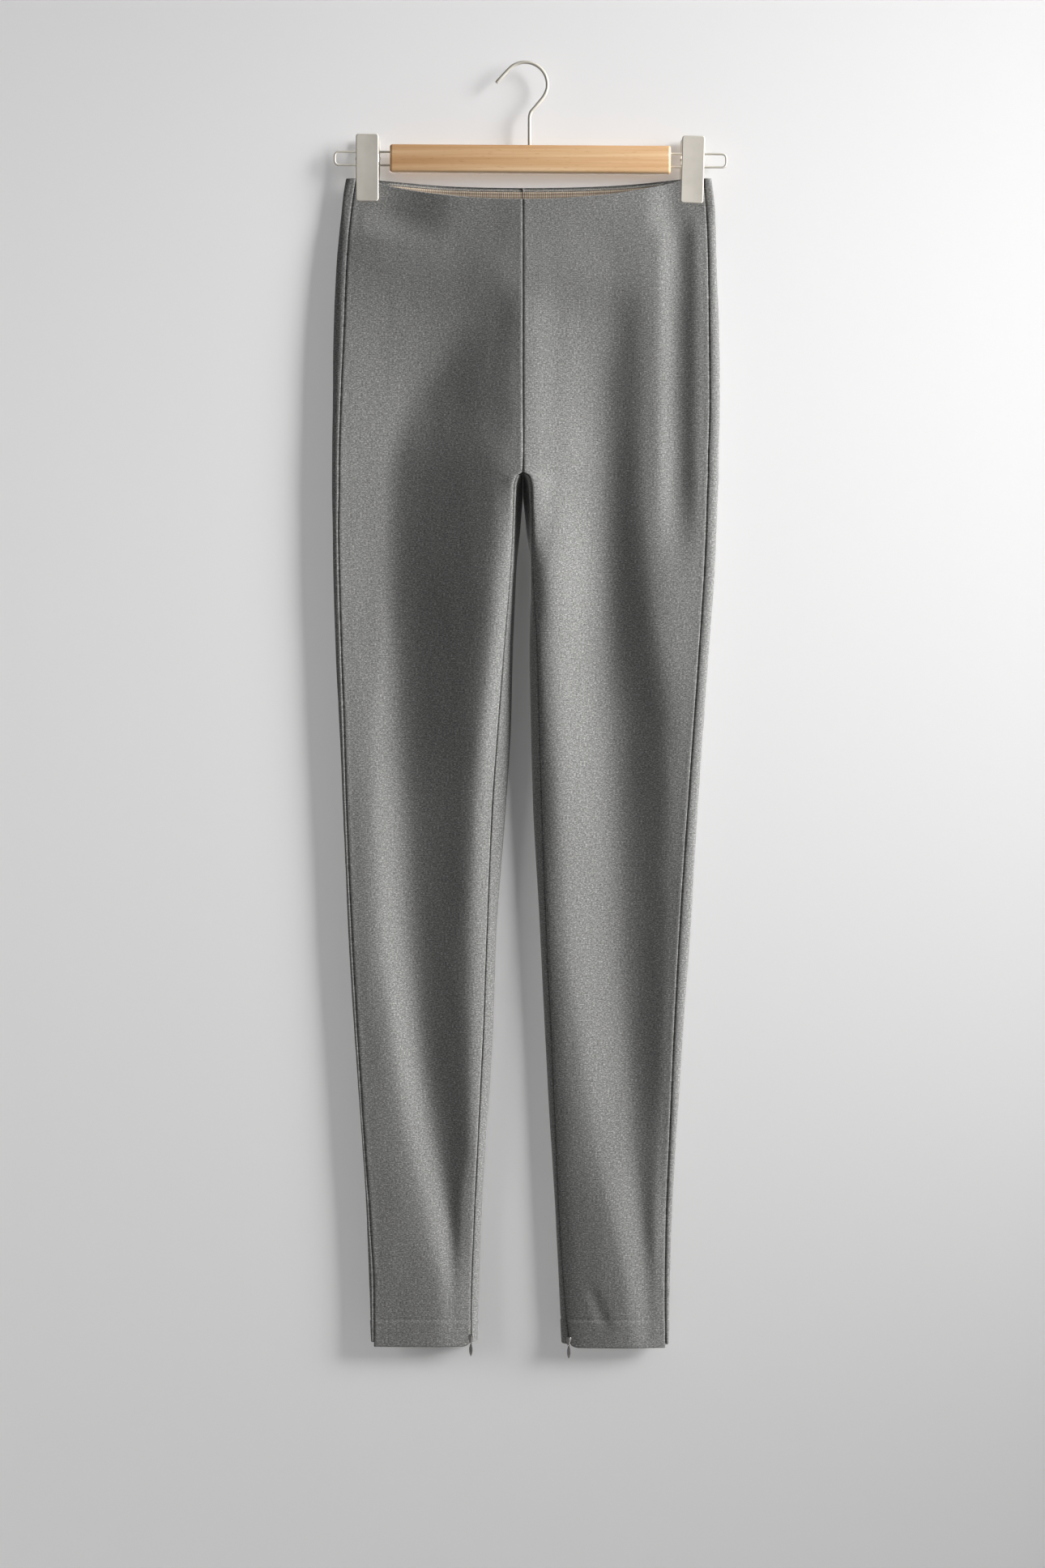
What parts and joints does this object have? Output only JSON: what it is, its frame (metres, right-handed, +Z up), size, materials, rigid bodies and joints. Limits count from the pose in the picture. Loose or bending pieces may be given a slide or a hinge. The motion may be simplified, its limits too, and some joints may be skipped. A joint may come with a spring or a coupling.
{
  "type": "leggings on a clip hanger",
  "caption": "High-waisted jersey leggings with narrow legs and ankle zips, hung by the waist from the clips of a wooden trouser hanger.",
  "frame": {"origin": "the underside of the crown of the hanger's hook, where a rail or a peg holds the hanger up", "axes": "+Z is up, -Y is the front of the leggings, and +X is to the right as seen from the front"},
  "size_m": [0.3408, 0.0412, 1.1196],
  "materials": {
    "grey_jersey": "brushed melange double jersey, matt with a faint nap",
    "elastic_tape": "woven elastic tape",
    "zip_metal": "tumbled nickel-plated zinc",
    "waxed_beech": "sanded and waxed, fine grain along the bar",
    "painted_steel": "satin beige-grey enamel"
  },
  "bodies": {
    "hung_leggings": {"front_left": "grey_jersey", "front_right": "grey_jersey", "back_left": "grey_jersey", "back_right": "grey_jersey", "zip_tape_left": "grey_jersey", "zip_tape_right": "grey_jersey", "waist_tape_front": "elastic_tape", "waist_tape_back": "elastic_tape", "zip_slider_left": "zip_metal", "hanger_loop_left": "painted_steel", "clip_left_front": "painted_steel", "clip_left_back": "painted_steel", "clip_left_pin": "painted_steel", "clip_left_spring": "painted_steel", "zip_slider_right": "zip_metal", "hanger_loop_right": "painted_steel", "clip_right_front": "painted_steel", "clip_right_back": "painted_steel", "clip_right_pin": "painted_steel", "clip_right_spring": "painted_steel", "hanger_bar": "waxed_beech", "hanger_hook": "painted_steel"},
    "left_pull": {"zip_pull_left": "zip_metal"},
    "right_pull": {"zip_pull_right": "zip_metal"}
  },
  "joints": [
    {"name": "left_pull_hinge", "type": "hinge", "parent": "hung_leggings", "child": "left_pull", "pos_m": [-0.04592, -0.00995, -1.1018], "axis": [-1, 0, 0], "range_deg": [0, 160]},
    {"name": "right_pull_hinge", "type": "hinge", "parent": "hung_leggings", "child": "right_pull", "pos_m": [0.03843, -0.00995, -1.1037], "axis": [-1, 0, 0], "range_deg": [0, 160]}
  ]
}
